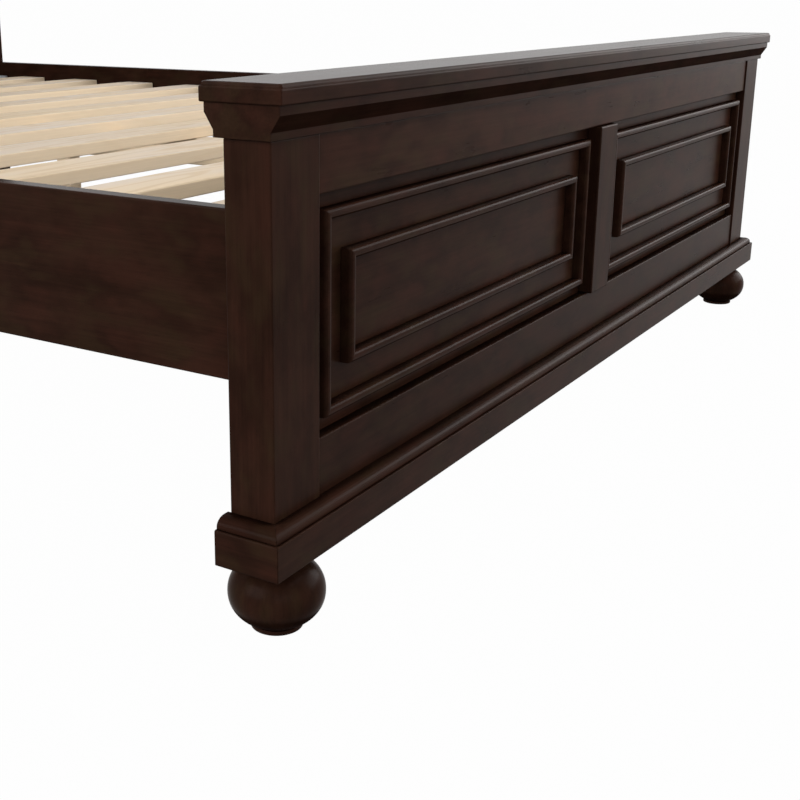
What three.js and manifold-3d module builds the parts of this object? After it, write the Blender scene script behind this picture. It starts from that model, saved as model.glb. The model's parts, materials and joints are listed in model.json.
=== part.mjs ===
// Platform bed for a queen mattress, in millimetres, +Z up.
// The foot end looks towards -Y and the head end stands at +Y. The origin is the
// middle of the floor under the whole bed.
// The foot end is a low frame-and-panel board: two posts, two rails, a middle stile
// and two panels with bead frames, under a crown and a cap, on a mitred plinth and
// two bun feet. Side rails with cleats carry ten slats, and a centre beam with one
// leg carries the slats in the middle. The head end repeats the foot end, taller.

import * as THREE from 'three';
import { mergeVertices } from 'three/addons/utils/BufferGeometryUtils.js';
import Module from 'manifold-3d';

const wasm = await Module();
wasm.setup();

// Foot end, seen from the front
const plinthWidth = 1700;
const footPostInset = 22.1;
const postWidth = 78.6;
const postDepth = 51.3;
const railThickness = 34;
const railSetback = 2.4;
const stileWidth = 66;
const stileReachBack = 31;
const footStileProud = 7.2;
const headStileProud = 2.1;

// Heights of the foot end's pieces, from the plinth upwards
const plinthHeight = 37;
const mouldingHeight = 11.2;
const bottomRailHeight = 107.8;
const footOpeningHeight = 239.6;
const topRailHeight = 57.6;

// Plinth and base moulding
const plinthFrontThickness = 18.9;
const plinthBackReach = 2.9;
const plinthEase = 1.4;
const mouldingSetback = 3.7;
const mouldingNoseHeight = 2.2;
const mouldingCurveReach = 10.4;

// Crown and cap
const crownTopFillet = 8.7;
const crownBevelHeight = 15.1;
const crownLowerFillet = 6.9;
const crownBevelInset = 9.8;
const crownProudFront = 3.9;
const crownProudBack = 6.5;
const crownProudEnd = 5.1;
const capThickness = 18.1;
const capOverhang = 3.7;
const capEndOverhang = 2.9;
const capEase = 1.2;
const capThumbHeight = 4;
const capThumbRadius = 2.8;
const capQuirk = 1.1;

// Panels and their bead frames
const groundDepth = 13.1;
const panelThickness = 9;
const grooveDepth = 9;
const beadMargin = 15.9;
const beadWidth = 11;
const beadFieldWidth = 34.1;
const beadStemHeight = 6.2;
const beadRoundness = 2.7;

// Bun feet
const bunRadius = 49.2;
const bunHalfHeight = 37.4;
const bunDiscRadius = 26.5;
const bunDiscHeight = 5;
const bunBaseRadius = 23.2;
const bunNeckRadius = 24;
const bunNeckHeight = 9.1;
const bunRoundness = 2.12;

// Side rails, cleats and slats
const railLength = 2054.8;
const sideRailInset = 35.9;
const sideRailThickness = 20;
const sideRailHeight = 163.8;
const sideRailBottom = 256.2;
const slatDrop = 36;
const slatCount = 10;
const slatWidth = 84;
const slatThickness = 19;
const firstSlatGap = 91.3;
const lastSlatGap = 104.7;
const slatEndPlay = 2;
const cleatWidth = 24;
const cleatHeight = 32;
const cleatEndGap = 46;

// Centre beam, its leg and its hangers
const beamWidth = 32;
const beamHeight = 46;
const legWidth = 28;
const legDepth = 34;
const legFromFoot = 1007.8;
const hangerSteel = 2.5;
const hangerReach = 40;
const hangerFlange = 13;

// Corner brackets between side rails and posts
const bracketSteel = 2.5;
const bracketRailLeg = 38;
const bracketPostLeg = 36;
const bracketHeight = 90;
const bracketHoleRadius = 3.6;
const bracketHoleInset = 24;
const bracketBendRadius = 2.5;
const bracketHoleShares = [0.25, 0.75];

// Head end
const headPostInset = 33;
const headOpeningHeight = 820;

// Edges, clearances and smoothness
const boardEase = 1.6;
const railEase = 1.8;
const slatEase = 1.5;
const fitClearance = 0.3;
const overrun = 5;
const easeSteps = 2;
const beadSteps = 8;
const mouldingSteps = 6;
const bendSteps = 4;
const bunSteps = 18;
const bunSides = 48;
const holeSides = 12;

// The bun's ball is a squashed round; this is half its height at a given radius
const ballHeightAt = (radius) => bunHalfHeight
  * (1 - (radius / bunRadius) ** bunRoundness) ** (1 / bunRoundness);
const ballRadiusAt = (height) => bunRadius
  * (1 - Math.abs(height / bunHalfHeight) ** bunRoundness) ** (1 / bunRoundness);
const bunCentreHeight = bunDiscHeight + ballHeightAt(bunBaseRadius);
const footHeight = bunCentreHeight + ballHeightAt(bunNeckRadius) + bunNeckHeight;

// Places that several pieces share, in the frame of one end
const footPostHalf = plinthWidth / 2 - footPostInset;
const headPostHalf = plinthWidth / 2 - headPostInset;
const bottomRailTop = footHeight + bottomRailHeight;
const footOpeningTop = bottomRailTop + footOpeningHeight;
const sideRailTop = sideRailBottom + sideRailHeight;
const headOpeningTop = sideRailTop + headOpeningHeight;
const crownHeight = crownTopFillet + crownBevelHeight + crownLowerFillet;
const slatTop = sideRailTop - slatDrop;
const slatBottom = slatTop - slatThickness;
const beamBottom = slatBottom - beamHeight;

// Length of the whole bed, from the front of the buns to the back of the head cap
const capReachBack = crownProudBack + crownBevelInset + capOverhang;
const footPostFront = plinthFrontThickness;
const footPostBack = footPostFront + postDepth;
const headPostFront = footPostBack + railLength;
const bunAxisY = footPostFront + postDepth / 2;
const bunProud = bunRadius - bunAxisY;
const overallLength = bunProud + headPostFront + postDepth + capReachBack;
const frontY = bunProud - overallLength / 2;

// Merged, closed and outward-facing geometry from points and triangles
function sealed(points, triangles) {
  const geometry = new THREE.BufferGeometry();
  geometry.setAttribute('position', new THREE.Float32BufferAttribute(points.flat(), 3));
  geometry.setIndex(triangles.flat());
  return tidy(geometry);
}

// Shared vertices are merged, empty triangles dropped and faces turned outwards
function tidy(source) {
  const bare = source.clone();
  bare.deleteAttribute('normal');
  bare.deleteAttribute('uv');
  const merged = mergeVertices(bare);
  const place = merged.getAttribute('position');
  const a = new THREE.Vector3();
  const b = new THREE.Vector3();
  const c = new THREE.Vector3();
  const kept = [];
  let volume = 0;
  for (let i = 0; i < merged.index.count; i += 3) {
    const corner = [0, 1, 2].map((k) => merged.index.getX(i + k));
    if (new Set(corner).size < 3) continue;
    kept.push(corner);
    a.fromBufferAttribute(place, corner[0]);
    b.fromBufferAttribute(place, corner[1]);
    c.fromBufferAttribute(place, corner[2]);
    volume += a.dot(b.cross(c));
  }
  const outward = volume < 0 ? kept.map(([p, q, r]) => [p, r, q]) : kept;
  merged.setIndex(outward.flat());
  merged.computeVertexNormals();
  return merged;
}

// Solid through rings of points, closed at both ends or joined back to the first
function loft(rings, joined = false) {
  const count = rings[0].length;
  const triangles = [];
  const last = joined ? rings.length : rings.length - 1;
  for (let r = 0; r < last; r += 1) {
    const near = r * count;
    const far = ((r + 1) % rings.length) * count;
    for (let k = 0; k < count; k += 1) {
      const next = (k + 1) % count;
      triangles.push([near + k, near + next, far + next], [near + k, far + next, far + k]);
    }
  }
  if (!joined) {
    const end = (rings.length - 1) * count;
    for (let k = 1; k < count - 1; k += 1) {
      triangles.push([0, k + 1, k], [end, end + k, end + k + 1]);
    }
  }
  return sealed(rings.flat(), triangles);
}

// Joining and cutting of closed geometry
function toSolid(geometry) {
  const plain = tidy(geometry);
  const mesh = new wasm.Mesh({
    numProp: 3,
    vertProperties: plain.getAttribute('position').array,
    triVerts: new Uint32Array(plain.index.array),
  });
  return new wasm.Manifold(mesh);
}

function fromSolid(solid) {
  const mesh = solid.getMesh();
  const geometry = new THREE.BufferGeometry();
  geometry.setAttribute('position', new THREE.Float32BufferAttribute(mesh.vertProperties, 3));
  geometry.setIndex(Array.from(mesh.triVerts));
  return tidy(geometry);
}

function cut(geometry, cutters) {
  return fromSolid(cutters.reduce((solid, tool) => solid.subtract(toSolid(tool)), toSolid(geometry)));
}

function join(geometry, additions) {
  return fromSolid(additions.reduce((solid, piece) => solid.add(toSolid(piece)), toSolid(geometry)));
}

// Plain block between two corners
function block(x0, x1, y0, y1, z0, z1) {
  const ring = (z) => [[x0, y0, z], [x1, y0, z], [x1, y1, z], [x0, y1, z]];
  return loft([ring(z0), ring(z1)]);
}

// Board whose twelve edges are rounded by the ease, with its length along x, y or z
function board(grain, x0, x1, y0, y1, z0, z1, ease) {
  const axis = 'xyz'.indexOf(grain);
  const low = [x0, y0, z0];
  const high = [x1, y1, z1];
  const u = (axis + 1) % 3;
  const v = (axis + 2) % 3;
  const turn = Array.from({ length: easeSteps + 1 }, (_, k) => (k / easeSteps) * (Math.PI / 2));
  const section = (inset, along) => {
    const round = ease - inset;
    const corners = [
      [high[u] - ease, high[v] - ease, 0],
      [low[u] + ease, high[v] - ease, Math.PI / 2],
      [low[u] + ease, low[v] + ease, Math.PI],
      [high[u] - ease, low[v] + ease, -Math.PI / 2],
    ];
    return corners.flatMap(([cu, cv, start]) => turn.map((angle) => {
      const point = [0, 0, 0];
      point[axis] = along;
      point[u] = cu + round * Math.cos(start + angle);
      point[v] = cv + round * Math.sin(start + angle);
      return point;
    }));
  };
  const lead = turn.map((angle) => [ease * (1 - Math.sin(angle)), ease * (1 - Math.cos(angle))]);
  const front = lead.map(([inset, step]) => section(inset, low[axis] + step));
  const back = [...lead].reverse().map(([inset, step]) => section(inset, high[axis] - step));
  return loft([...front, ...back]);
}

// Profile in Y and Z pulled along X
function pullAlongX(profile, x0, x1) {
  const shape = new THREE.Shape(profile.map(([y, z]) => new THREE.Vector2(y, z)));
  const geometry = new THREE.ExtrudeGeometry(shape, { depth: x1 - x0, bevelEnabled: false });
  const basis = new THREE.Matrix4().makeBasis(
    new THREE.Vector3(0, 1, 0),
    new THREE.Vector3(0, 0, 1),
    new THREE.Vector3(1, 0, 0),
  );
  geometry.applyMatrix4(basis);
  geometry.translate(x0, 0, 0);
  return tidy(geometry);
}

// Dark stained wood, pale slat wood and steel
function darkWood() {
  return new THREE.MeshStandardMaterial({ color: 0x3a2a22, roughness: 0.38, metalness: 0 });
}

function paleWood() {
  return new THREE.MeshStandardMaterial({ color: 0xcdb48e, roughness: 0.7, metalness: 0 });
}

function steel() {
  return new THREE.MeshStandardMaterial({ color: 0x8d9093, roughness: 0.4, metalness: 1 });
}

function place(group, name, geometry, material) {
  const mesh = new THREE.Mesh(geometry, material);
  mesh.name = name;
  group.add(mesh);
  return mesh;
}

// Crown: one moulding under the cap, bevelled in towards the posts on both faces
function crownGeometry(postFront, postHalf, bottom) {
  const lowerFront = postFront - crownProudFront;
  const lowerBack = postFront + postDepth + crownProudBack;
  const upperFront = lowerFront - crownBevelInset;
  const upperBack = lowerBack + crownBevelInset;
  const bevelStart = bottom + crownLowerFillet;
  const bevelEnd = bevelStart + crownBevelHeight;
  const top = bottom + crownHeight;
  const profile = [
    [lowerFront, bottom],
    [lowerBack, bottom],
    [lowerBack, bevelStart],
    [upperBack, bevelEnd],
    [upperBack, top],
    [upperFront, top],
    [upperFront, bevelEnd],
    [lowerFront, bevelStart],
  ];
  return pullAlongX(profile, -postHalf - crownProudEnd, postHalf + crownProudEnd);
}

// Cap: a board with a rounded thumb along its top edge, set in by a small quirk
function capGeometry(postFront, postHalf, bottom) {
  const half = postHalf + crownProudEnd + capEndOverhang;
  const front = postFront - crownProudFront - crownBevelInset - capOverhang;
  const back = postFront + postDepth + capReachBack;
  const top = bottom + capThickness;
  const body = board('x', -half, half, front, back, bottom, top - capThumbHeight, capEase);
  const thumb = board('x', capQuirk - half, half - capQuirk, front + capQuirk, back - capQuirk,
    bottom + capEase, top, capThumbRadius);
  return join(body, [thumb]);
}

// Section of a bead: distance from its outer edge, height above the panel. An upright
// stem carries a broad round, a little squarer than a circle.
function beadSection() {
  const roundHeight = groundDepth - beadStemHeight;
  const fuller = (value) => Math.sign(value) * Math.abs(value) ** (2 / beadRoundness);
  const round = Array.from({ length: beadSteps + 1 }, (_, k) => {
    const angle = Math.PI * (1 - k / beadSteps);
    const across = (beadWidth / 2) * (1 + fuller(Math.cos(angle)));
    return [across, beadStemHeight + roundHeight * fuller(Math.sin(angle))];
  });
  return [[0, 0], ...round, [beadWidth, 0]];
}

// Mitred bead frame standing on the panel's face, set in from an opening
function beadFrame(x0, x1, z0, z1, inset, faceY) {
  const corners = [[x0, 1, z0, 1], [x1, -1, z0, 1], [x1, -1, z1, -1], [x0, 1, z1, -1]];
  const rings = corners.map(([x, inX, z, inZ]) => beadSection().map(([across, height]) => [
    x + inX * (inset + across),
    faceY - height,
    z + inZ * (inset + across),
  ]));
  return loft(rings, true);
}

// Frame, panels, beads, crown and cap of one end, in the frame of its own group
function endFrame(group, end) {
  const { name, postFront, postHalf, postBottom, lowBottom, lowTop, highBottom, stileProud } = end;
  const postBack = postFront + postDepth;
  const postInner = postHalf - postWidth;
  const railFront = postFront + railSetback;
  const railBack = railFront + railThickness;
  const faceY = railFront + groundDepth;
  const postTop = highBottom + topRailHeight;
  const stileHalf = stileWidth / 2;
  const sides = [['left', -postInner, -stileHalf], ['right', stileHalf, postInner]];

  // Each panel sits loose in grooves round its opening
  const tongue = grooveDepth - fitClearance;
  const grooves = sides.map(([, x0, x1]) => block(
    x0 - grooveDepth,
    x1 + grooveDepth,
    faceY - fitClearance,
    faceY + panelThickness + fitClearance,
    lowTop - grooveDepth,
    highBottom + grooveDepth,
  ));

  for (const [side, out] of [['left', -1], ['right', 1]]) {
    const edges = [out * postHalf, out * postInner].sort((p, q) => p - q);
    const post = board('z', edges[0], edges[1], postFront, postBack, postBottom, postTop, boardEase);
    place(group, `${name}_post_${side}`, cut(post, grooves), darkWood());
  }

  const lowRail = board('x', -postInner, postInner, railFront, railBack, lowBottom, lowTop, railEase);
  place(group, `${name}_bottom_rail`, cut(lowRail, grooves), darkWood());
  const highRail = board('x', -postInner, postInner, railFront, railBack, highBottom, postTop,
    railEase);
  place(group, `${name}_top_rail`, cut(highRail, grooves), darkWood());
  const stile = board('z', -stileHalf, stileHalf, railFront - stileProud, railFront + stileReachBack,
    lowTop, highBottom, railEase);
  place(group, `${name}_stile`, cut(stile, grooves), darkWood());

  for (const [side, x0, x1] of sides) {
    const panel = block(x0 - tongue, x1 + tongue, faceY, faceY + panelThickness,
      lowTop - tongue, highBottom + tongue);
    place(group, `${name}_panel_${side}`, panel, darkWood());
    const innerInset = beadMargin + beadWidth + beadFieldWidth;
    const outer = beadFrame(x0, x1, lowTop, highBottom, beadMargin, faceY);
    place(group, `${name}_outer_bead_${side}`, outer, darkWood());
    const inner = beadFrame(x0, x1, lowTop, highBottom, innerInset, faceY);
    place(group, `${name}_inner_bead_${side}`, inner, darkWood());
  }

  place(group, `${name}_crown`, crownGeometry(postFront, postHalf, postTop), darkWood());
  place(group, `${name}_cap`, capGeometry(postFront, postHalf, postTop + crownHeight), darkWood());
}

// Run of a profile between two plan corners, each with its inner and outer point. The
// profile's distances are measured from the inner face, and its reach meets the outer.
function mitredRun(profile, reach, start, finish) {
  const ring = (corner) => profile.map(([distance, z]) => [
    corner.inner[0] + (corner.outer[0] - corner.inner[0]) * (distance / reach),
    corner.inner[1] + (corner.outer[1] - corner.inner[1]) * (distance / reach),
    z,
  ]);
  return loft([ring(start), ring(finish)]);
}

// Plinth board, eased along its outer arrises
function plinthProfile(reach) {
  const bottom = footHeight;
  const top = footHeight + plinthHeight;
  const arc = Array.from({ length: easeSteps + 1 }, (_, k) => (k / easeSteps) * (Math.PI / 2));
  return [
    [0, bottom],
    ...arc.map((a) => [reach - plinthEase * (1 - Math.sin(a)), bottom + plinthEase * (1 - Math.cos(a))]),
    ...arc.map((a) => [reach - plinthEase * (1 - Math.cos(a)), top - plinthEase * (1 - Math.sin(a))]),
    [0, top],
  ];
}

// Rounded base moulding: a short upright nose, then a quarter turn to a flat top
function mouldingProfile(reach) {
  const bottom = footHeight + plinthHeight;
  const curveHeight = mouldingHeight - mouldingNoseHeight;
  const arc = Array.from({ length: mouldingSteps + 1 }, (_, k) => (k / mouldingSteps) * (Math.PI / 2));
  return [
    [0, bottom],
    [reach, bottom],
    ...arc.map((a) => [
      reach - mouldingCurveReach * (1 - Math.cos(a)),
      bottom + mouldingNoseHeight + curveHeight * Math.sin(a),
    ]),
    [0, bottom + mouldingHeight],
  ];
}

// Plinth or moulding round the posts: one front run and two returns, mitred
function wrapPosts(group, names, profileOf, setback, bottom, height) {
  const reach = plinthFrontThickness - setback;
  const profile = profileOf(reach);
  const innerX = footPostHalf;
  const outerX = plinthWidth / 2 - setback;
  const innerY = footPostFront;
  const backY = footPostBack + plinthBackReach;
  const corner = (out) => ({ inner: [out * innerX, innerY], outer: [out * outerX, setback] });
  const square = (out) => ({ inner: [out * innerX, backY], outer: [out * outerX, backY] });
  // Between the posts the front run is packed out to the rail behind it
  const packHalf = footPostHalf - postWidth - fitClearance;
  const railFront = footPostFront + railSetback;
  const pack = block(-packHalf, packHalf, innerY - plinthEase, railFront - fitClearance,
    bottom, bottom + height);
  const front = join(mitredRun(profile, reach, corner(-1), corner(1)), [pack]);
  place(group, `${names}_front`, front, darkWood());
  place(group, `${names}_left`, mitredRun(profile, reach, corner(-1), square(-1)), darkWood());
  place(group, `${names}_right`, mitredRun(profile, reach, corner(1), square(1)), darkWood());
}

// Bun foot: a base disc, a squashed ball and a short neck, turned about its own axis
function bunFoot() {
  const start = -Math.asin(ballHeightAt(bunBaseRadius) / bunHalfHeight);
  const finish = Math.asin(ballHeightAt(bunNeckRadius) / bunHalfHeight);
  const ball = Array.from({ length: bunSteps + 1 }, (_, k) => {
    const z = bunHalfHeight * Math.sin(start + (finish - start) * (k / bunSteps));
    return new THREE.Vector2(ballRadiusAt(z), bunCentreHeight + z);
  });
  const discEase = bunDiscRadius - bunBaseRadius;
  const profile = [
    new THREE.Vector2(0, 0),
    new THREE.Vector2(bunDiscRadius - discEase / 2, 0),
    new THREE.Vector2(bunDiscRadius, bunDiscHeight / 3),
    new THREE.Vector2(bunDiscRadius, bunDiscHeight * (2 / 3)),
    ...ball,
    new THREE.Vector2(bunNeckRadius, footHeight),
    new THREE.Vector2(0, footHeight),
  ];
  const geometry = new THREE.LatheGeometry(profile, bunSides);
  geometry.rotateX(Math.PI / 2);
  return tidy(geometry);
}

// Foot end
const bed = new THREE.Group();
const footEnd = new THREE.Group();
footEnd.position.y = frontY;
bed.add(footEnd);

endFrame(footEnd, {
  name: 'footboard',
  postFront: footPostFront,
  postHalf: footPostHalf,
  postBottom: footHeight,
  lowBottom: footHeight,
  lowTop: bottomRailTop,
  highBottom: footOpeningTop,
  stileProud: footStileProud,
});
wrapPosts(footEnd, 'plinth', plinthProfile, 0, footHeight, plinthHeight);
wrapPosts(footEnd, 'base_moulding', mouldingProfile, mouldingSetback, footHeight + plinthHeight,
  mouldingHeight);

for (const [side, out] of [['left', -1], ['right', 1]]) {
  const foot = place(footEnd, `bun_foot_${side}`, bunFoot(), darkWood());
  foot.position.x = out * (footPostHalf - postWidth / 2);
  foot.position.y = bunAxisY;
}

// Head end
const headEnd = new THREE.Group();
headEnd.position.y = frontY + headPostFront;
bed.add(headEnd);

endFrame(headEnd, {
  name: 'headboard',
  postFront: 0,
  postHalf: headPostHalf,
  postBottom: 0,
  lowBottom: sideRailBottom,
  lowTop: sideRailTop,
  highBottom: headOpeningTop,
  stileProud: headStileProud,
});

// Side rails, cleats and slats, measured from the back of the foot posts
const deck = new THREE.Group();
deck.position.y = frontY + footPostBack;
bed.add(deck);

const railOuter = plinthWidth / 2 - sideRailInset;
const railInner = railOuter - sideRailThickness;
const railStart = fitClearance;
const railEnd = railLength - fitClearance;

for (const [side, out] of [['left', -1], ['right', 1]]) {
  const edges = [out * railOuter, out * railInner].sort((p, q) => p - q);
  const rail = board('y', edges[0], edges[1], railStart, railEnd, sideRailBottom, sideRailTop,
    railEase);
  place(deck, `side_rail_${side}`, rail, darkWood());
  const cleatEdges = [out * railInner, out * (railInner - cleatWidth)].sort((p, q) => p - q);
  const cleat = board('y', cleatEdges[0], cleatEdges[1], cleatEndGap, railLength - cleatEndGap,
    slatBottom - cleatHeight, slatBottom, slatEase);
  place(deck, `slat_cleat_${side}`, cleat, darkWood());
}

const slatHalf = railInner - slatEndPlay;
const slatPitch = (railLength - firstSlatGap - lastSlatGap - slatWidth) / (slatCount - 1);
for (let k = 0; k < slatCount; k += 1) {
  const slat = board('x', -slatHalf, slatHalf, 0, slatWidth, slatBottom, slatTop, slatEase);
  const number = String(k + 1).padStart(2, '0');
  const mesh = place(deck, `slat_${number}`, slat, paleWood());
  mesh.position.y = firstSlatGap + k * slatPitch;
}

// Centre beam, hung on the stile at the foot and on the bottom rail at the head
const stileRear = railSetback + stileReachBack - postDepth;
const headRailFront = railLength + railSetback;
const beamStart = stileRear + hangerSteel + 2 * fitClearance;
const beamEnd = headRailFront - hangerSteel - 2 * fitClearance;
const beam = board('y', -beamWidth / 2, beamWidth / 2, beamStart, beamEnd, beamBottom, slatBottom,
  slatEase);
place(deck, 'centre_beam', beam, paleWood());

const leg = board('z', -legWidth / 2, legWidth / 2, legFromFoot - legDepth / 2,
  legFromFoot + legDepth / 2, 0, beamBottom, slatEase);
place(deck, 'centre_leg', leg, paleWood());

// Hanger: a back plate with a tray that cradles the end of the beam
function hanger() {
  const half = beamWidth / 2 + fitClearance;
  const seat = beamBottom - fitClearance;
  const rise = seat + beamHeight / 2;
  const plate = block(-half - hangerSteel - hangerFlange, half + hangerSteel + hangerFlange,
    0, hangerSteel, seat - hangerSteel, rise);
  const tray = block(-half - hangerSteel, half + hangerSteel, 0, hangerReach, seat - hangerSteel, rise);
  const space = block(-half, half, hangerSteel, hangerReach + overrun, seat, rise + overrun);
  return cut(join(plate, [tray]), [space]);
}

const footHanger = place(deck, 'beam_hanger_foot', hanger(), steel());
footHanger.position.y = stileRear + fitClearance;
const headHanger = place(deck, 'beam_hanger_head', hanger(), steel());
headHanger.rotation.z = Math.PI;
headHanger.position.y = headRailFront - fitClearance;

// Corner bracket: a bent steel angle with two screw holes in each leg
function bracket() {
  const shape = new THREE.Shape();
  shape.moveTo(0, 0);
  shape.lineTo(bracketPostLeg, 0);
  shape.lineTo(bracketPostLeg, bracketSteel);
  const bend = bracketSteel + bracketBendRadius;
  shape.lineTo(bend, bracketSteel);
  shape.absarc(bend, bend, bracketBendRadius, -Math.PI / 2, Math.PI, true);
  shape.lineTo(bracketSteel, bracketRailLeg);
  shape.lineTo(0, bracketRailLeg);
  shape.lineTo(0, 0);
  const bent = new THREE.ExtrudeGeometry(shape, {
    depth: bracketHeight,
    bevelEnabled: false,
    curveSegments: bendSteps,
  });
  const length = bracketSteel + 2 * overrun;
  const holes = bracketHoleShares.flatMap((share) => {
    const z = bracketHeight * share;
    const throughPost = new THREE.CylinderGeometry(bracketHoleRadius, bracketHoleRadius, length, holeSides);
    throughPost.translate(bracketHoleInset, 0, z);
    const throughRail = new THREE.CylinderGeometry(bracketHoleRadius, bracketHoleRadius, length, holeSides);
    throughRail.rotateZ(Math.PI / 2);
    throughRail.translate(0, bracketHoleInset, z);
    return [throughPost, throughRail];
  });
  return cut(bent, holes);
}

const bracketBottom = sideRailBottom + (sideRailHeight - bracketHeight) / 2;
for (const [side, out] of [['left', -1], ['right', 1]]) {
  for (const [end, along] of [['foot', 1], ['head', -1]]) {
    const piece = bracket();
    piece.scale(-out, along, 1);
    const mesh = place(deck, `rail_bracket_${end}_${side}`, tidy(piece), steel());
    mesh.position.x = out * (railInner - fitClearance);
    mesh.position.y = along > 0 ? fitClearance : railLength - fitClearance;
    mesh.position.z = bracketBottom;
  }
}

export default bed;
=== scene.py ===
# %% [markdown]
# A low platform bed, dressed as a lesson. The boards come ready made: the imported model
# holds every rail, post, panel, bead, slat and bracket at its real size, and nothing
# here moves or reshapes them. What is left for Blender is what the eye reads as wood:
# the stain, the grain, the satin lacquer, the pale bare slats, the turned feet and the
# screws that hold it together. Lengths are metres, +Z is up, and the bed's foot end
# looks towards -Y.

import json
import math
import random

import bpy
import numpy as np
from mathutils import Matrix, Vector


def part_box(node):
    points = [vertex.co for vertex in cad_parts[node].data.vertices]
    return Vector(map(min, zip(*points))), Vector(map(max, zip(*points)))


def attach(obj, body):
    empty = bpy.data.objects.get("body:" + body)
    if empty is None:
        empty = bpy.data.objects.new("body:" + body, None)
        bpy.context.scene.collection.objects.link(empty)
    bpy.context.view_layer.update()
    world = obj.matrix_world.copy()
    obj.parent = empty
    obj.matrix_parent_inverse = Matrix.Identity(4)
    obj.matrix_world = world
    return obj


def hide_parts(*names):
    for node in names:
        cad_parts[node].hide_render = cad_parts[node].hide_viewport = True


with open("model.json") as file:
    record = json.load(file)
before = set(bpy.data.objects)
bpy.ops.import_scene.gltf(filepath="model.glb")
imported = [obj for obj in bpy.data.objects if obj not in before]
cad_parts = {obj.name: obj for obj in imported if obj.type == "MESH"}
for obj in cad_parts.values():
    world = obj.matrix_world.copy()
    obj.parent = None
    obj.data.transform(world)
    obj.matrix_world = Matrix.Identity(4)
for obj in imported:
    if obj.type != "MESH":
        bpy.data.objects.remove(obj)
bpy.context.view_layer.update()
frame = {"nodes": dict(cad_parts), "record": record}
nodes = frame["nodes"]
print("pieces in the model:", len(nodes))

MM = 0.001

# %% [markdown]
# The photograph is taken from knee height, close to the near corner of the foot end, and
# the headboard is out of the picture. Its straight edges meet in vanishing points, and
# from these the camera was worked out: where it stands, where it looks, and that the
# picture is a part of a wider one, which a small lens shift gives here. The camera stays
# level and looks down by sixteen degrees.

# %% Camera
EYE = Vector((-1676.5, -1678.0, 606.6)) * MM
HEADING = Vector((0.8374, 0.5465, 0.0))
PITCH = math.radians(16.034)
SENSOR_WIDTH = 36
FOCAL_LENGTH = 54.29
LENS_SHIFT = (0.1043, -0.0736)
NEAREST, FARTHEST = 0.05, 900


def link(made):
    """Put a new object into the scene."""
    bpy.context.scene.collection.objects.link(made)
    return made


camera = bpy.data.cameras.new("photo_camera")
camera.sensor_width = SENSOR_WIDTH
camera.lens = FOCAL_LENGTH
camera.shift_x, camera.shift_y = LENS_SHIFT
camera.clip_start, camera.clip_end = NEAREST, FARTHEST
camera_object = link(bpy.data.objects.new("photo_camera", camera))
bpy.context.scene.camera = camera_object

look = HEADING.normalized() * math.cos(PITCH) - Vector((0, 0, math.sin(PITCH)))
camera_object.location = EYE
camera_object.rotation_euler = look.to_track_quat("-Z", "Y").to_euler()

# %% [markdown]
# Shader maths reads best when it is written as maths. The small class below wraps one
# output of a node, and each operator on it adds the Math node that it stands for. The
# operators also work with a plain number on the left, so 1 - mask is a mask turned over.

# %% Maths on sockets
class Amount:
    """A number that changes over a surface."""

    def __init__(self, surface, socket):
        self.surface = surface
        self.socket = socket

    def work_out(self, operation, first, second=0.0):
        made = self.surface.node("ShaderNodeMath", {"operation": operation}, {0: first, 1: second})
        return Amount(self.surface, made.outputs[0])

    def __add__(self, other):
        return self.work_out("ADD", self, other)

    __radd__ = __add__

    def __sub__(self, other):
        return self.work_out("SUBTRACT", self, other)

    def __rsub__(self, other):
        return self.work_out("SUBTRACT", other, self)

    def __mul__(self, other):
        return self.work_out("MULTIPLY", self, other)

    __rmul__ = __mul__

    def sine(self):
        return self.work_out("SINE", self)

    def or_more(self, other):
        """The larger of two amounts."""
        return self.work_out("MAXIMUM", self, other)


print("amounts can be added, taken away and multiplied")

# %% [markdown]
# A second class is a surface. It holds a material with one principled shader, and its one
# way of adding any other node: the kind of node, its settings, which are made first, and
# then a value or a link for each input. The methods after that are the few nodes that
# wood and metal need again and again.

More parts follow.
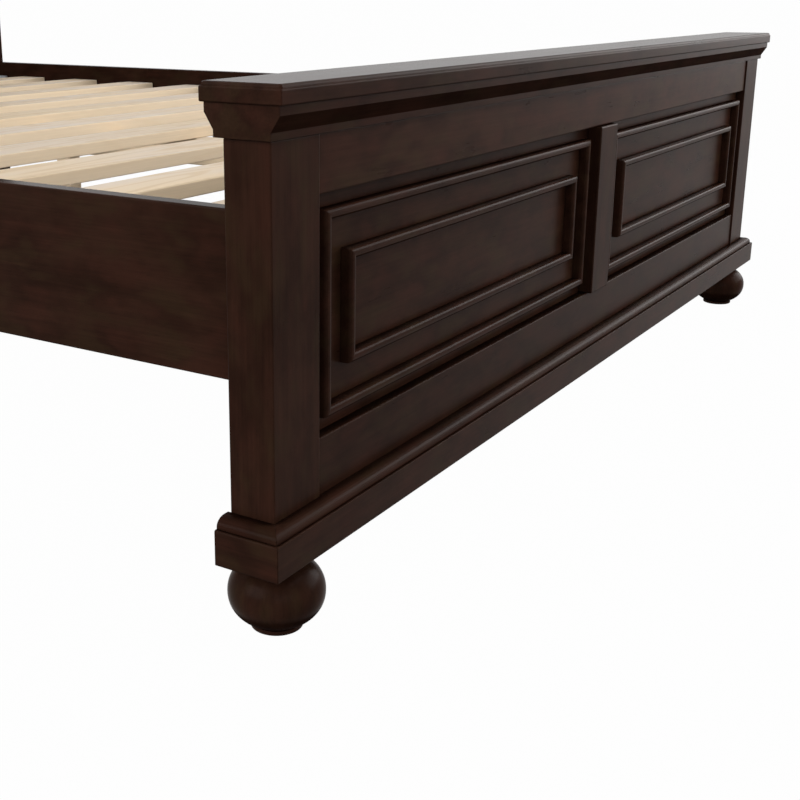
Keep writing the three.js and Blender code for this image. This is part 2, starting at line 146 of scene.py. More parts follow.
# %% Surfaces
class Surface:
    """A material with one principled shader, and short ways to feed it."""

    def __init__(self, name, **constants):
        self.material = bpy.data.materials.new(name)
        self.material.use_nodes = True
        self.tree = self.material.node_tree
        self.tree.nodes.clear()
        self.shader = self.node("ShaderNodeBsdfPrincipled", {}, constants)
        self.output = self.node("ShaderNodeOutputMaterial", {}, {"Surface": self.shader.outputs["BSDF"]})

    def node(self, kind, settings, inputs):
        made = self.tree.nodes.new(kind)
        for key, value in settings.items():
            if key == "stops":
                self.fill_ramp(made.color_ramp, value)
            else:
                setattr(made, key, value)
        for key, value in inputs.items():
            self.feed(self.find(made, key), value)
        return made

    def find(self, made, key):
        """An input by its number, its identifier or its name."""
        if isinstance(key, int):
            return made.inputs[key]
        exact = [s for s in made.inputs if s.identifier == key]
        return exact[0] if exact else made.inputs[key]

    def feed(self, socket, value):
        if isinstance(value, Amount):
            value = value.socket
        if isinstance(value, bpy.types.NodeSocket):
            self.tree.links.new(value, socket)
        elif isinstance(value, (tuple, list, Vector)) and socket.type == "RGBA":
            socket.default_value = (*value, 1.0) if len(value) == 3 else value
        else:
            socket.default_value = value

    def fill_ramp(self, ramp, stops):
        while len(ramp.elements) < len(stops):
            ramp.elements.new(0.5)
        for element, (at, shade) in zip(ramp.elements, stops):
            element.position = at
            element.color = (shade, shade, shade, 1.0)

    def finish(self, mixed):
        """A mix of shaders takes the plain shader's place at the output."""
        self.feed(self.output.inputs["Surface"], mixed.outputs["Shader"])

    def place(self, offset=(0, 0, 0), scale=(1, 1, 1)):
        """Points of the surface in metres, moved and stretched."""
        point = self.node("ShaderNodeTexCoord", {}, {}).outputs["Object"]
        moved = self.node("ShaderNodeMapping", {"vector_type": "POINT"}, {
            "Vector": point, "Location": offset, "Scale": scale})
        return moved.outputs["Vector"]

    def noise(self, vector, scale=1.0, detail=2.0, roughness=0.5, distortion=0.0):
        made = self.node("ShaderNodeTexNoise", {"noise_dimensions": "3D"}, {
            "Vector": vector, "Scale": scale, "Detail": detail, "Roughness": roughness,
            "Distortion": distortion})
        return Amount(self, made.outputs["Fac"])

    def between(self, amount, low, high):
        """The share of the way from low to high, eased at both ends."""
        made = self.node("ShaderNodeMapRange", {"interpolation_type": "SMOOTHSTEP"}, {
            "Value": amount, "From Min": low, "From Max": high})
        return Amount(self, made.outputs["Result"])

    def mix(self, factor, a, b):
        made = self.node("ShaderNodeMix", {"data_type": "RGBA"}, {
            "Factor_Float": factor, "A_Color": a, "B_Color": b})
        return [s for s in made.outputs if s.identifier == "Result_Color"][0]

    def shade(self, colour, amount):
        """A colour made lighter or darker by an amount, kept a colour."""
        made = self.node("ShaderNodeVectorMath", {"operation": "SCALE"}, {
            "Vector": colour, "Scale": amount})
        return made.outputs["Vector"]


print("surface helpers ready")

# %% [markdown]
# Real boards have no knife-sharp corners, and lacquer thins on them first, so the stain
# is a little lighter along every arris. Hollows get painted shade: their colour is made
# darker where shade falls. The Bevel node gives the first: where its rounded normal
# leans away from the true one, an edge is near. Ambient Occlusion gives the second.
# Which way a face looks counts too: level tops get a smoother coat and undersides get
# painted shade, and the height of the surface's normal tells that.

# %% Edges and hollows
BEVEL_SAMPLES = 4
HOLLOW_SAMPLES = 6
EDGE_STARTS = 0.05


def near_edge(surface, radius, gain):
    """How near an edge is, and the normal that is rounded there."""
    bevel = surface.node("ShaderNodeBevel", {"samples": BEVEL_SAMPLES}, {"Radius": radius})
    rounded = bevel.outputs["Normal"]
    true = surface.node("ShaderNodeNewGeometry", {}, {}).outputs["Normal"]
    alike = surface.node("ShaderNodeVectorMath", {"operation": "DOT_PRODUCT"}, {0: rounded, 1: true})
    lean = 1.0 - Amount(surface, alike.outputs["Value"])
    return surface.between(lean * gain, EDGE_STARTS, 1.0), rounded


def in_hollow(surface, reach):
    """How much of the open air is hidden by wood within reach."""
    open_air = surface.node("ShaderNodeAmbientOcclusion", {"samples": HOLLOW_SAMPLES}, {"Distance": reach})
    return 1.0 - Amount(surface, open_air.outputs["AO"])


def facing_up(surface):
    """One on a level top, zero on an upright face, minus one on an underside."""
    normal = surface.node("ShaderNodeNewGeometry", {}, {}).outputs["Normal"]
    parts = surface.node("ShaderNodeSeparateXYZ", {}, {0: normal})
    return Amount(surface, parts.outputs["Z"])


print("edge, hollow and level masks ready")

# %% [markdown]
# Wood is a noise pattern that is drawn out along the grain: few steps in each metre along
# the board, many across it. The same numbers would paint the same board everywhere, so a
# seeded draw moves each board to another part of the pattern.

# %% Grain
BOARD_SPREAD = 9.0


def stretched(along, slow, fast):
    """Pattern steps per metre: few along the grain, many across it."""
    return tuple(slow if axis == along else fast for axis in range(3))


def board_start(chance):
    return tuple(chance.uniform(-BOARD_SPREAD, BOARD_SPREAD) for _ in range(3))


def grain(surface, start, along, steps, **detail):
    return surface.noise(surface.place(start, stretched(along, *steps)), **detail)


print("grain along X, steps per metre:", stretched(0, 4.0, 90.0))

# %% [markdown]
# The dark parts are a hardwood under an espresso stain and a satin lacquer. Close up the
# colour is not one brown: wide soft clouds drift from red to olive where the stain took
# unevenly, streaks run along the board, faint growth lines bend through them and short
# pores show as dark ticks. The colours and the sizes of these patterns come first. The
# foot end's top rail is made lighter than the other boards and its bottom rail darker.

# %% Stain colours and pattern sizes
STAIN_DEEP = (0.0168, 0.0069, 0.0042)
STAIN_MEAN = (0.0257, 0.0110, 0.0067)
STAIN_RED = (0.0306, 0.0110, 0.0070)
STAIN_OLIVE = (0.0248, 0.0140, 0.0070)
STAIN_RUBBED = (0.0540, 0.0285, 0.0180)
# the foot end's top rail made lighter and its bottom rail darker
BOARD_TONES = {"footboard_top_rail": 1.25, "footboard_bottom_rail": 0.88}

CLOUD_STEPS = (13.0, 30.0)
WARMTH_STEPS = (17.0, 34.0)
STREAK_STEPS = (4.0, 90.0)
FIBRE_STEPS = (8.0, 340.0)
PORE_STEPS = (70.0, 950.0)
GROWTH_STEPS = (1.1, 7.0)
GROWTH_LINES = 110.0
print("darkest and mean stain:", STAIN_DEEP, STAIN_MEAN)

# %% [markdown]
# The lacquer is what makes far faces look grey: at a low angle it mirrors the pale floor,
# and head-on it hardly shows. On level tops it has flowed out a little smoother.
# Undersides, ledges deep in a recess and tight seams get painted shade: masks darken their
# colour and, by a Mix Shader, swap in a second shader without lacquer and sheen, so they
# look almost black beside the rest in any light.

# %% Stained wood
LACQUER_IOR = 1.070
EASED_EDGE = 1.3 * MM
RECESS_REACH = 18.0 * MM
SEAM_REACH = 3.0 * MM
# how strongly painted shade darkens recesses, ledges, seams and undersides, and how much of the undersides
# lose their sheen
RECESS_SHADE_PAINTED, LEDGE_SHADE_PAINTED, SEAM_SHADE_PAINTED, UNDERSIDE_SHADE_PAINTED = 0.10, 0.72, 0.70, 0.35
UNDERSIDE_DULL_SHADE = 0.96
LACQUER_ROUGHNESS, LEVEL_SMOOTHER = 0.28, 0.07
DULL_SHADE_ROUGHNESS = 0.9


def stained_wood(name, along, seed, tone):
    start = board_start(random.Random(seed))
    wood = Surface(name, IOR=LACQUER_IOR)
    clouds = grain(wood, start, along, CLOUD_STEPS, detail=3.0, roughness=0.55)
    warmth = grain(wood, start[::-1], along, WARMTH_STEPS)
    streaks = grain(wood, start, along, STREAK_STEPS, detail=4.0, roughness=0.62, distortion=0.25)
    fibres = grain(wood, start, along, FIBRE_STEPS, detail=4.0, roughness=0.62)
    growth = (grain(wood, start, along, GROWTH_STEPS, detail=1.0) * GROWTH_LINES).sine()
    pores = wood.between(grain(wood, start, along, PORE_STEPS, detail=1.0), 0.63, 0.72)

    edge, rounded = near_edge(wood, EASED_EDGE, 9.0)
    level = facing_up(wood)
    closed = in_hollow(wood, RECESS_REACH)
    # painted shade masks: recesses, ledges, undersides and seams, made darker and duller where shade falls
    painted_recess_shade = wood.between(closed, 0.30, 0.90)
    painted_ledge_shade = wood.between(closed, 0.08, 0.35) * wood.between(level, 0.90, 0.985)
    painted_underside_shade = wood.between(level, -0.25, -0.50)
    painted_seam_shade = wood.between(in_hollow(wood, SEAM_REACH), 0.30, 0.80)

    colour = wood.mix(wood.between(clouds, 0.34, 0.66), STAIN_DEEP, STAIN_MEAN)
    colour = wood.mix(wood.between(warmth, 0.50, 0.70) * 0.50, colour, STAIN_RED)
    colour = wood.mix(wood.between(warmth, 0.50, 0.32) * 0.50, colour, STAIN_OLIVE)
    depth = 0.86 + wood.between(streaks, 0.30, 0.72) * 0.15 + (fibres - 0.5) * 0.60 + growth * 0.015
    depth = depth * (1.0 - pores * 0.15)
    # painted shade: colour made darker in recesses, on ledges, in seams and on undersides
    depth = depth * (1.0 - painted_recess_shade * RECESS_SHADE_PAINTED) * (1.0 - painted_ledge_shade * LEDGE_SHADE_PAINTED)
    depth = depth * (1.0 - painted_seam_shade * SEAM_SHADE_PAINTED) * (1.0 - painted_underside_shade * UNDERSIDE_SHADE_PAINTED) * tone
    colour = wood.shade(colour, depth)
    colour = wood.mix(edge * wood.between(streaks, 0.35, 0.62) * 0.30, colour, STAIN_RUBBED)
    wood.feed(wood.shader.inputs["Base Color"], colour)

    rough = LACQUER_ROUGHNESS - wood.between(level, 0.80, 0.98) * LEVEL_SMOOTHER
    rough = rough + (streaks - 0.5) * 0.02 + (clouds - 0.5) * 0.03 + pores * 0.02 + edge * 0.03
    wood.feed(wood.shader.inputs["Roughness"], rough)
    relief = fibres * 0.35 + streaks * 0.45 - pores * 0.9
    bump = wood.node("ShaderNodeBump", {}, {
        "Strength": 0.10, "Distance": 0.04 * MM, "Height": relief, "Normal": rounded})
    wood.feed(wood.shader.inputs["Normal"], bump.outputs["Normal"])

    # the shader without lacquer used for the painted shade: same darkened colour, no sheen
    bare = wood.node("ShaderNodeBsdfPrincipled", {}, {
        "Base Color": colour, "Roughness": DULL_SHADE_ROUGHNESS, "IOR": 1.0, "Normal": bump.outputs["Normal"]})
    painted_shade_dull = (painted_underside_shade * UNDERSIDE_DULL_SHADE).or_more(painted_ledge_shade.or_more(painted_seam_shade))
    wood.finish(wood.node("ShaderNodeMixShader", {}, {
        "Fac": painted_shade_dull, 1: wood.shader.outputs["BSDF"], 2: bare.outputs["BSDF"]}))
    return wood.material


print("lacquer's index of refraction:", LACQUER_IOR)

# %% [markdown]
# Each board needs to know which way its grain runs. A board is cut with the grain along
# its longest side, and that could be left to the box alone, but the short returns of the
# plinth and of the moulding above it are cut from the same long stock as the front ones,
# and a foot is turned with its grain upright.

# %% Dress the dark boards
ALONG_BED, UPRIGHT = 1, 2
STAIN_SEED = 100
RETURNS = ("plinth_left", "plinth_right", "base_moulding_left", "base_moulding_right")


def grain_of(node):
    if node in RETURNS:
        return ALONG_BED
    if node.startswith("bun_foot"):
        return UPRIGHT
    low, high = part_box(node)
    sides = list(high - low)
    return sides.index(max(sides))


def dress(node, material):
    data = nodes[node].data
    data.materials.clear()
    data.materials.append(material)


slots = {row["node"]: row["material_slot"] for row in frame["record"]["subparts"]}
dark = sorted(n for n in nodes if slots[n] == "stained_wood")
for number, node in enumerate(dark):
    tone = BOARD_TONES.get(node, 1.0)
    dress(node, stained_wood("stain_" + node, grain_of(node), STAIN_SEED + number, tone))
print("stained boards:", len(dark))

# %% [markdown]
# Slats, centre beam and leg are planed softwood with no finish at all. Their wide faces
# are pale and a little pink. The sawn edges are yellower, and are also painted lighter,
# as painted light. Growth lines run the length of the slat in soft pairs, and here and
# there sits a knot. As with the stain, the colours and the sizes of the patterns come first.

# %% Pine colours and pattern sizes
PINE_PALE = (0.605, 0.520, 0.440)
PINE_MEAN = (0.660, 0.525, 0.365)
PINE_LATE = (0.550, 0.400, 0.240)
PINE_KNOT = (0.230, 0.105, 0.045)
PINE_SAWN_PAINTED_LIGHT = (0.765, 0.605, 0.420)
PINE_IOR = 1.3
PINE_TONES = (0.93, 1.05)
PINE_BROAD_STEPS = (1.6, 12.0)
PINE_GROWTH_STEPS = (0.9, 11.0)
PINE_GROWTH_LINES = 95.0
PINE_FIBRE_STEPS = (9.0, 420.0)
PINE_KNOT_STEPS = (2.1, 7.0)
print("planed and sawn pine:", PINE_MEAN, PINE_SAWN_PAINTED_LIGHT)

# %% [markdown]
# Bare wood has no coat, so one matt shader is enough and nothing on it shines. Faces that
# don't look up are the sawn edges, yellower and painted lighter as painted light, and
# hollows between the pieces get painted shade. A knot is a small dark spot where a branch
# is cut across: Voronoi cells, drawn out along the grain, put one here and there. Each
# slat comes from another board and differs a little in tone.

# %% Bare pine
SLAT_EDGE = 1.0 * MM
SLAT_REACH = 25.0 * MM
PINE_SEED = 300


def bare_pine(name, along, seed):
    chance = random.Random(seed)
    start = board_start(chance)
    tone = chance.uniform(*PINE_TONES)
    pine = Surface(name, IOR=PINE_IOR)
    broad = grain(pine, start, along, PINE_BROAD_STEPS)
    bend = grain(pine, start, along, PINE_GROWTH_STEPS, roughness=0.45)
    rings = (bend * PINE_GROWTH_LINES).sine() * 0.5 + 0.5
    fibres = grain(pine, start, along, PINE_FIBRE_STEPS, detail=3.0, roughness=0.6)
    cells = pine.node("ShaderNodeTexVoronoi", {"feature": "F1"}, {
        "Vector": pine.place(start, stretched(along, *PINE_KNOT_STEPS)), "Scale": 1.0, "Randomness": 1.0})
    knot = pine.between(Amount(pine, cells.outputs["Distance"]), 0.085, 0.035)
    # sawn edges: yellower wood, and painted lighter as painted light
    sawn_painted_light = pine.between(facing_up(pine), 0.85, 0.40)

    colour = pine.mix(pine.between(broad, 0.35, 0.70), PINE_PALE, PINE_MEAN)
    colour = pine.mix(pine.between(rings, 0.55, 1.0) * 0.55, colour, PINE_LATE)
    colour = pine.mix(sawn_painted_light * 0.85, colour, PINE_SAWN_PAINTED_LIGHT)
    colour = pine.mix(knot * 0.8, colour, PINE_KNOT)
    edge, rounded = near_edge(pine, SLAT_EDGE, 9.0)
    # painted shade in the hollows between the pine pieces
    painted_recess_shade = pine.between(in_hollow(pine, SLAT_REACH), 0.4, 1.0)
    depth = (tone + (fibres - 0.5) * 0.16) * (1.0 - painted_recess_shade * 0.25) + edge * 0.03
    pine.feed(pine.shader.inputs["Base Color"], pine.shade(colour, depth))
    pine.feed(pine.shader.inputs["Roughness"], 0.62 + (fibres - 0.5) * 0.2 + knot * -0.12)
    bump = pine.node("ShaderNodeBump", {}, {
        "Strength": 0.3, "Distance": 0.12 * MM, "Height": fibres + rings * 0.4, "Normal": rounded})
    pine.feed(pine.shader.inputs["Normal"], bump.outputs["Normal"])
    return pine.material


pale = sorted(n for n in nodes if slots[n] == "pale_wood")
for number, node in enumerate(pale):
    dress(node, bare_pine("pine_" + node, grain_of(node), PINE_SEED + number))
print("bare pine pieces:", len(pale))

# %% [markdown]
# The brackets, hangers and screws are zinc plated steel, seen only from inside the bed or
# from below. Plating has a soft patchy sheen with fine scratches in it, and shows bright
# where handling has rubbed an edge.

# %% Zinc plated steel
ZINC_DULL = (0.42, 0.43, 0.44)
ZINC_FRESH = (0.60, 0.61, 0.62)
ZINC_RUBBED = (0.74, 0.75, 0.76)
PATCH_SCALE = 95.0
SCRATCH_SCALE = (900.0, 900.0, 45.0)
STEEL_EDGE = 0.6 * MM


def zinc(name):
    metal = Surface(name, Metallic=1.0)
    patches = metal.noise(metal.place(), scale=PATCH_SCALE, detail=3.0, roughness=0.6)
    scratches = metal.noise(metal.place(scale=SCRATCH_SCALE))
    edge, rounded = near_edge(metal, STEEL_EDGE, 6.0)
    colour = metal.mix(metal.between(patches, 0.35, 0.70), ZINC_DULL, ZINC_FRESH)
    colour = metal.mix(edge * 0.5, colour, ZINC_RUBBED)
    metal.feed(metal.shader.inputs["Base Color"], colour)
    metal.feed(metal.shader.inputs["Roughness"], 0.36 + (patches - 0.5) * 0.2 + (scratches - 0.5) * 0.2)
    bump = metal.node("ShaderNodeBump", {}, {
        "Strength": 0.2, "Distance": 0.03 * MM, "Height": scratches, "Normal": rounded})
    metal.feed(metal.shader.inputs["Normal"], bump.outputs["Normal"])
    return metal.material


steel = zinc("zinc_plating")
for node in sorted(n for n in nodes if slots[n] == "zinc_steel"):
    dress(node, steel)
print("steel pieces:", sum(slot == "zinc_steel" for slot in slots.values()))

# %% [markdown]
# The front feet are turned on a lathe, so they are surfaces of revolution: one profile,
# taken round an axis. The profile has a thin base disc with eased corners, a ball that is
# wider than it is high and a little squarer than an ellipse, and a short neck. The packed
# foot has the same profile in flat facets, which satin lacquer would show.

# %% Profile of a bun foot
BALL_RADIUS = 49.2 * MM
BALL_HALF_HEIGHT = 37.4 * MM
ROUNDNESS = 2.12
BASE_RADIUS = 23.2 * MM
NECK_RADIUS = 24.0 * MM
DISC_RADIUS = 26.5 * MM
DISC_HEIGHT = 5.0 * MM
DISC_EASE = 1.2 * MM
EASE_STEPS = 4
BALL_STEPS = 40


def ball_height(radius):
    return BALL_HALF_HEIGHT * (1 - (radius / BALL_RADIUS) ** ROUNDNESS) ** (1 / ROUNDNESS)


def ball_radius(height):
    return BALL_RADIUS * (1 - abs(height / BALL_HALF_HEIGHT) ** ROUNDNESS) ** (1 / ROUNDNESS)


def bun_profile(foot_height):
    """Radius and height of each ring, from the floor to the neck's top."""
    inner = DISC_RADIUS - DISC_EASE
    upper = DISC_HEIGHT - DISC_EASE
    quarter = [math.pi / 2 * k / EASE_STEPS for k in range(EASE_STEPS + 1)]
    disc = [(inner + DISC_EASE * math.sin(a), DISC_EASE - DISC_EASE * math.cos(a)) for a in quarter]
    disc += [(inner + DISC_EASE * math.cos(a), upper + DISC_EASE * math.sin(a)) for a in quarter]
    centre = DISC_HEIGHT + ball_height(BASE_RADIUS)
    start = -math.asin(ball_height(BASE_RADIUS) / BALL_HALF_HEIGHT)
    finish = math.asin(ball_height(NECK_RADIUS) / BALL_HALF_HEIGHT)
    ball = []
    for k in range(BALL_STEPS + 1):
        height = BALL_HALF_HEIGHT * math.sin(start + (finish - start) * k / BALL_STEPS)
        ball.append((ball_radius(height), centre + height))
    neck = [(NECK_RADIUS, foot_height)]
    return disc + ball + neck


print("whole ball, mm:", round(2 * BALL_RADIUS / MM, 1), "by", round(2 * BALL_HALF_HEIGHT / MM, 1))

# %% [markdown]
# The lathe itself is a loop: it sets every ring of the profile round the foot's axis and
# joins each ring to the next with faces. The new foot has many more rings and sides than
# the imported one, lies inside it and takes its place. It is shaded smooth, and only the
# groove between base disc and ball and the rims are kept crisp.

# %% Turned bun feet
FOOT_SIDES = 96
CRISP_ANGLE = math.radians(35)


def turned(name, profile, axis_x, axis_y, sides):
    turns = [2 * math.pi * k / sides for k in range(sides)]
    points = [(axis_x + r * math.cos(t), axis_y + r * math.sin(t), z) for r, z in profile for t in turns]
    faces = []
    for ring in range(len(profile) - 1):
        for k in range(sides):
            a, b = ring * sides + k, ring * sides + (k + 1) % sides
            faces.append((a, b, b + sides, a + sides))
    top = (len(profile) - 1) * sides
    faces.append(tuple(reversed(range(sides))))
    faces.append(tuple(range(top, top + sides)))
    mesh = bpy.data.meshes.new(name)
    mesh.from_pydata(points, [], faces)
    mesh.shade_smooth()
    mesh.set_sharp_from_angle(angle=CRISP_ANGLE)
    return link(bpy.data.objects.new(name, mesh))


for side in ("left", "right"):
    node = "bun_foot_" + side
    low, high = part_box(node)
    middle = (low + high) / 2
    rings = bun_profile(high.z)
    foot = turned("turned_foot_" + side, rings, middle.x, middle.y, FOOT_SIDES)
    foot.data.materials.append(nodes[node].data.materials[0])
    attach(foot, "root")
    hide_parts(node)
    print(foot.name, "rings:", len(rings), "widest, mm:", round(2 * max(r for r, _ in rings) / MM, 1))

# %% [markdown]
# Screws repeat, so Geometry Nodes sets them. A mesh with one loose vertex for each screw
# says where they go, and a vector stored on each vertex says which way its head looks.
# The tree makes one head, a low cone with a cross recess cut into it, stands a copy of
# it on every point, gives each its own turn, and makes the copies plain mesh.

# %% Screw tree
HEAD_SIDES = 20
FULL_TURN = 6.283
SPIN_SEED = 7
SPIN_MOST = 3
SCREW_SIZES = {"Foot radius": 0.004, "Top radius": 0.003, "Height": 0.002,
               "Recess width": 0.0008, "Recess length": 0.004, "Recess depth": 0.0012}


def screw_inputs(tree):
    """The tree's named inputs, and the identifier that a modifier needs for each."""
    kinds = {"Points": "NodeSocketGeometry", **dict.fromkeys(SCREW_SIZES, "NodeSocketFloat"),
             "Metal": "NodeSocketMaterial"}
    found = {}
    for name, kind in kinds.items():
        made = tree.interface.new_socket(name=name, in_out="INPUT", socket_type=kind)
        if name in SCREW_SIZES:
            made.default_value = SCREW_SIZES[name]
        found[name] = made.identifier
    tree.interface.new_socket(name="Screws", in_out="OUTPUT", socket_type="NodeSocketGeometry")
    return found


def screw_tree():
    tree = bpy.data.node_groups.new("screw_heads", "GeometryNodeTree")
    names = screw_inputs(tree)

    def add(kind, settings, inputs):
        made = tree.nodes.new(kind)
        for key, value in settings.items():
            setattr(made, key, value)
        for key, value in inputs.items():
            if isinstance(value, bpy.types.NodeSocket):
                tree.links.new(value, made.inputs[key])
            else:
                made.inputs[key].default_value = value
        return made

    given = tree.nodes.new("NodeGroupInput").outputs
    head = add("GeometryNodeMeshCone", {"fill_type": "NGON"}, {
        "Vertices": HEAD_SIDES, "Side Segments": 1, "Radius Top": given["Top radius"],
        "Radius Bottom": given["Foot radius"], "Depth": given["Height"]})
    floor_of_recess = add("ShaderNodeMath", {"operation": "SUBTRACT"}, {
        0: given["Height"], 1: given["Recess depth"]})
    middle = add("ShaderNodeMath", {"operation": "MULTIPLY_ADD"}, {
        0: given["Height"], 1: 0.5, 2: floor_of_recess.outputs[0]})
    up = add("ShaderNodeCombineXYZ", {}, {"Z": middle.outputs[0]})
    cut = add("GeometryNodeMeshBoolean", {"operation": "DIFFERENCE", "solver": "EXACT"}, {
        0: head.outputs["Mesh"]})
    for long_side, short_side in (("Recess length", "Recess width"), ("Recess width", "Recess length")):
        size = add("ShaderNodeCombineXYZ", {}, {
            "X": given[long_side], "Y": given[short_side], "Z": given["Height"]})
        bar = add("GeometryNodeMeshCube", {}, {"Size": size.outputs[0]})
        raised = add("GeometryNodeTransform", {}, {
            "Geometry": bar.outputs["Mesh"], "Translation": up.outputs[0]})
        tree.links.new(raised.outputs[0], cut.inputs["Mesh 2"])
    aim = add("GeometryNodeInputNamedAttribute", {"data_type": "FLOAT_VECTOR"}, {"Name": "aim"})
    turn = add("FunctionNodeAlignRotationToVector", {"axis": "Z"}, {"Vector": aim.outputs["Attribute"]})
    spin = add("FunctionNodeRandomValue", {"data_type": "FLOAT"}, {SPIN_MOST: FULL_TURN, "Seed": SPIN_SEED})
    about = add("FunctionNodeAxisAngleToRotation", {}, {"Axis": (0, 0, 1), "Angle": spin.outputs[1]})
    both = add("FunctionNodeRotateRotation", {"rotation_space": "LOCAL"}, {
        0: turn.outputs[0], 1: about.outputs[0]})
    spots = add("GeometryNodeMeshToPoints", {}, {"Mesh": given["Points"]})
    copies = add("GeometryNodeInstanceOnPoints", {}, {
        "Points": spots.outputs[0], "Instance": cut.outputs["Mesh"], "Rotation": both.outputs[0]})
    real = add("GeometryNodeRealizeInstances", {}, {"Geometry": copies.outputs[0]})
    painted = add("GeometryNodeSetMaterial", {}, {"Geometry": real.outputs[0], "Material": given["Metal"]})
    add("NodeGroupOutput", {}, {"Screws": painted.outputs[0]})
    return tree, names


SCREWS, SCREW_INPUTS = screw_tree()
print("screw tree nodes:", len(SCREWS.nodes))

# %% [markdown]
# One function runs the tree. It stores the spots and their aims on a carrier mesh, feeds
# the sizes to the modifier's inputs by their identifiers, takes the result as a plain
# mesh and removes the modifier, so that the piece is finished before it joins the bed.
# The nodes leave an empty material slot in front of the steel one, so the slots are
# cleared, which sets every face back to the first, and the steel becomes that one.

# %% Set screws on spots
def set_screws(name, spots, sizes):
    """One mesh of screw heads at spots, each a place and the way its head looks."""
    mesh = bpy.data.meshes.new(name + "_points")
    mesh.from_pydata([p for p, _ in spots], [], [])
    aim = mesh.attributes.new("aim", "FLOAT_VECTOR", "POINT")
    aim.data.foreach_set("vector", np.array([d for _, d in spots], np.float32).ravel())
    carrier = link(bpy.data.objects.new(name, mesh))
    modifier = carrier.modifiers.new("screws", "NODES")
    modifier.node_group = SCREWS
    for key, value in sizes.items():
        modifier[SCREW_INPUTS[key]] = value
    modifier[SCREW_INPUTS["Metal"]] = steel
    bpy.context.view_layer.update()
    graph = bpy.context.evaluated_depsgraph_get()
    result = bpy.data.meshes.new_from_object(carrier.evaluated_get(graph))
    carrier.modifiers.remove(modifier)
    result.materials.clear()
    result.materials.append(steel)
    carrier.data = result
    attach(carrier, "root")
    worn = {face.material_index for face in result.polygons}
    print(name, "heads:", len(spots), "faces:", len(result.polygons), "material slots worn:", worn)


print("screw inputs:", len(SCREW_INPUTS))

# %% [markdown]
# Brackets and hangers are held by screws with a raised pan head: two through each leaf of
# a bracket, a quarter of its height from either end, and two through each hanger's plate.
# The boxes of the steel pieces say where the plates are, so the heads sit on the steel
# even if a bracket changes place.

# %% Pan screws on the steel
STEEL_THICKNESS = 2.5 * MM
HOLE_INSET = 24.0 * MM
HANGER_LIP = 6.5 * MM
QUARTERS = (0.25, 0.75)
PAN_HEAD = {"Foot radius": 4.4 * MM, "Top radius": 3.0 * MM, "Height": 1.9 * MM,
            "Recess width": 0.9 * MM, "Recess length": 4.0 * MM, "Recess depth": 1.1 * MM}

pan_spots = []
for end, along in (("foot", 1), ("head", -1)):
    for side, inward in (("left", 1), ("right", -1)):
        low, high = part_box(f"rail_bracket_{end}_{side}")
        corner_x = low.x if inward > 0 else high.x
        corner_y = low.y if along > 0 else high.y
        for share in QUARTERS:
            z = low.z + (high.z - low.z) * share
            pan_spots.append(((corner_x + inward * HOLE_INSET, corner_y + along * STEEL_THICKNESS, z),
                              (0, along, 0)))
            pan_spots.append(((corner_x + inward * STEEL_THICKNESS, corner_y + along * HOLE_INSET, z),
                              (inward, 0, 0)))
    low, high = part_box("beam_hanger_" + end)
    plate_y = low.y + STEEL_THICKNESS if along > 0 else high.y - STEEL_THICKNESS
    for x in (low.x + HANGER_LIP, high.x - HANGER_LIP):
        pan_spots.append(((x, plate_y, (low.z + high.z) / 2), (0, along, 0)))
set_screws("pan_screws", pan_spots, PAN_HEAD)

# %% [markdown]
# Slats take flat heads, sunk flush with the wood so that they can't wear the mattress. Two
# go through each end of a slat, down into the cleat. A head stands a hair above the wood,
# because two faces at the same height would flicker.

# %% Flat screws in the slats
FLAT_PROUD = 0.05 * MM
FLAT_HEAD = {"Foot radius": 2.2 * MM, "Top radius": 3.8 * MM, "Height": 1.6 * MM,
             "Recess width": 0.8 * MM, "Recess length": 3.6 * MM, "Recess depth": 1.0 * MM}

flat_spots = []
cleat_low, cleat_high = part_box("slat_cleat_right")
for node in [n for n in pale if n.startswith("slat_")]:
    low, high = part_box(node)
    for side in (-1, 1):
        for share in QUARTERS:
            y = low.y + (high.y - low.y) * share
            x = side * (cleat_low.x + cleat_high.x) / 2
            flat_spots.append(((x, y, high.z - FLAT_HEAD["Height"] + FLAT_PROUD), (0, 0, 1)))
set_screws("slat_screws", flat_spots, FLAT_HEAD)

# %% [markdown]
# A product picture of this kind has no visible room: a pale floor runs out to white. The
# floor is a wide sheet of pale matt card. Its own light is added only where the eye, a
# mirror or glass looks at it, so that it ends in plain white, keeps a trace of the bed's
# shadow, and throws no more light on the bed than card would.

# %% Floor
FLOOR_REACH = 400.0
FLOOR_DROP = 0.4 * MM
WHITE = (1.0, 1.0, 1.0)
CARD_GREY = (0.20, 0.20, 0.20)
CARD_ROUGHNESS = 0.9
OWN_LIGHT_SHARE = 0.985

floor_mesh = bpy.data.meshes.new("pale_floor")
floor_mesh.from_pydata([(x * FLOOR_REACH, y * FLOOR_REACH, -FLOOR_DROP) for x, y in
                        ((-1, -1), (1, -1), (1, 1), (-1, 1))], [], [(0, 1, 2, 3)])
floor = link(bpy.data.objects.new("pale_floor", floor_mesh))


def seen_directly(surface):
    """One for the eye, mirrors and glass, zero for light on its way to the bed."""
    path = surface.node("ShaderNodeLightPath", {}, {}).outputs
    seen = Amount(surface, path["Is Camera Ray"])
    for kind in ("Is Glossy Ray", "Is Transmission Ray"):
        seen = seen.or_more(Amount(surface, path[kind]))
    return seen


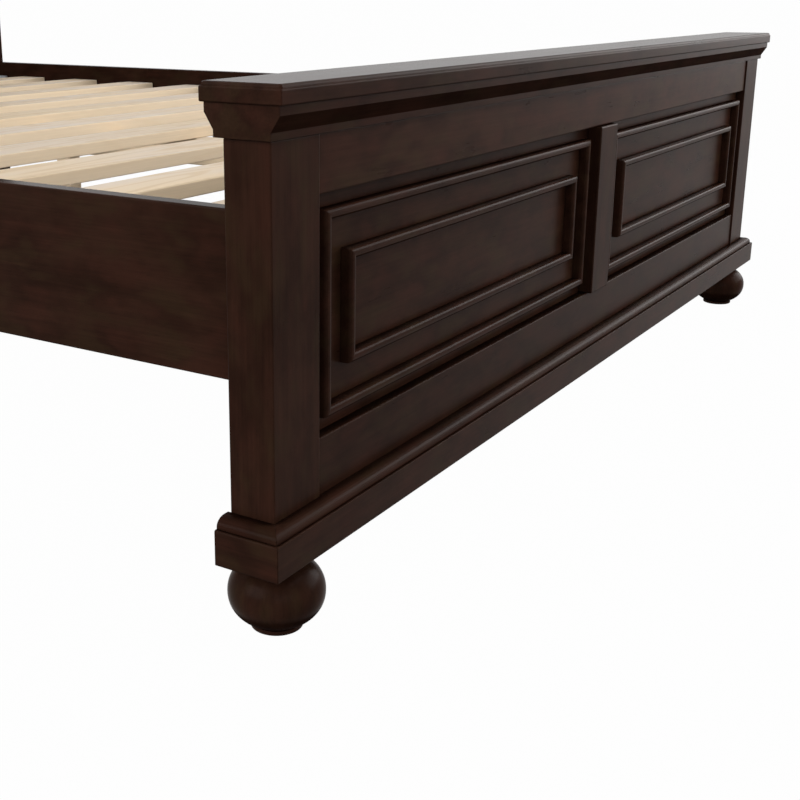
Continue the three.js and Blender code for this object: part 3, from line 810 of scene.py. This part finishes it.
card = Surface("pale_card", Roughness=CARD_ROUGHNESS)
card.feed(card.shader.inputs["Base Color"], CARD_GREY)
glow = card.node("ShaderNodeEmission", {}, {"Color": WHITE, "Strength": 1.0})
card.finish(card.node("ShaderNodeMixShader", {}, {
    "Fac": seen_directly(card) * OWN_LIGHT_SHARE,
    1: card.shader.outputs["BSDF"], 2: glow.outputs["Emission"]}))
floor_mesh.materials.append(card.material)
print("floor, m:", 2 * FLOOR_REACH, "square, below the feet by mm:", FLOOR_DROP / MM)

# %% [markdown]
# The sky is plain white to the eye in the same way as the floor. The light that it gives
# is strongest near the horizon and weak above, since in the photograph upright faces are
# lit about as well as level ones. A ramp from the horizon to straight up says how much.

# %% Sky
SKY_STOPS = ((0.0, 0.85), (0.06, 0.78), (0.16, 0.36), (1.0, 0.34))


class Sky(Surface):
    """The world, whose nodes are added in the same way as a surface's."""

    def __init__(self, name):
        self.world = bpy.data.worlds.new(name)
        self.world.use_nodes = True
        self.tree = self.world.node_tree
        self.tree.nodes.clear()


sky = Sky("studio_sky")
way = sky.node("ShaderNodeTexCoord", {}, {}).outputs["Generated"]
rise = sky.node("ShaderNodeSeparateXYZ", {}, {0: way}).outputs["Z"]
lighting = sky.node("ShaderNodeValToRGB", {"stops": SKY_STOPS}, {"Fac": rise}).outputs["Color"]
backdrop = sky.mix(seen_directly(sky), lighting, WHITE)
light = sky.node("ShaderNodeBackground", {}, {"Color": backdrop})
sky.node("ShaderNodeOutputWorld", {}, {"Surface": light.outputs["Background"]})
bpy.context.scene.world = sky.world
print("sky at the horizon and above:", SKY_STOPS[0][1], SKY_STOPS[-1][1])

# %% [markdown]
# Six softboxes do the rest: a low main one in front on the right, one on the left for the
# bed's long side, one high in front that reaches the slats behind the footboard, and
# three weak ones. They are wide, so that shadows stay soft, and each is given by where it
# stands, what it looks at, its two sides in metres and its watts.

# %% Softboxes
def softbox(name, at, aim, sides, watts):
    lamp = bpy.data.lights.new(name, "AREA")
    lamp.shape = "RECTANGLE"
    lamp.size, lamp.size_y = sides
    lamp.energy = watts
    holder = link(bpy.data.objects.new(name, lamp))
    holder.location = at
    holder.rotation_euler = (Vector(aim) - Vector(at)).to_track_quat("-Z", "Y").to_euler()


softbox("front_right_softbox", (2.3, -3.15, 1.45), (0.5, -0.9, 0.35), (2.6, 1.6), 84)
softbox("front_left_softbox", (-2.8, -3.4, 1.0), (-0.3, -0.9, 0.3), (2.4, 1.4), 20)
softbox("left_softbox", (-4.0, 0.3, 1.9), (-0.6, -0.4, 0.3), (3.2, 2.4), 138)
softbox("high_front_softbox", (-0.2, -2.3, 2.7), (-0.2, -0.2, 0.4), (2.4, 1.2), 30)
softbox("back_right_softbox", (2.6, 4.2, 3.0), (0.2, 0.8, 0.6), (2.4, 1.8), 45)
softbox("right_softbox", (4.4, -2.3, 1.5), (0.6, -1.0, 0.4), (1.6, 2.2), 54)
print("lamps:", len(bpy.data.lights), "watts in all:", sum(lamp.energy for lamp in bpy.data.lights))

# %% [markdown]
# The last step sets the scene's view transform to Standard.

# %% Finish
bpy.context.scene.view_settings.view_transform = "Standard"
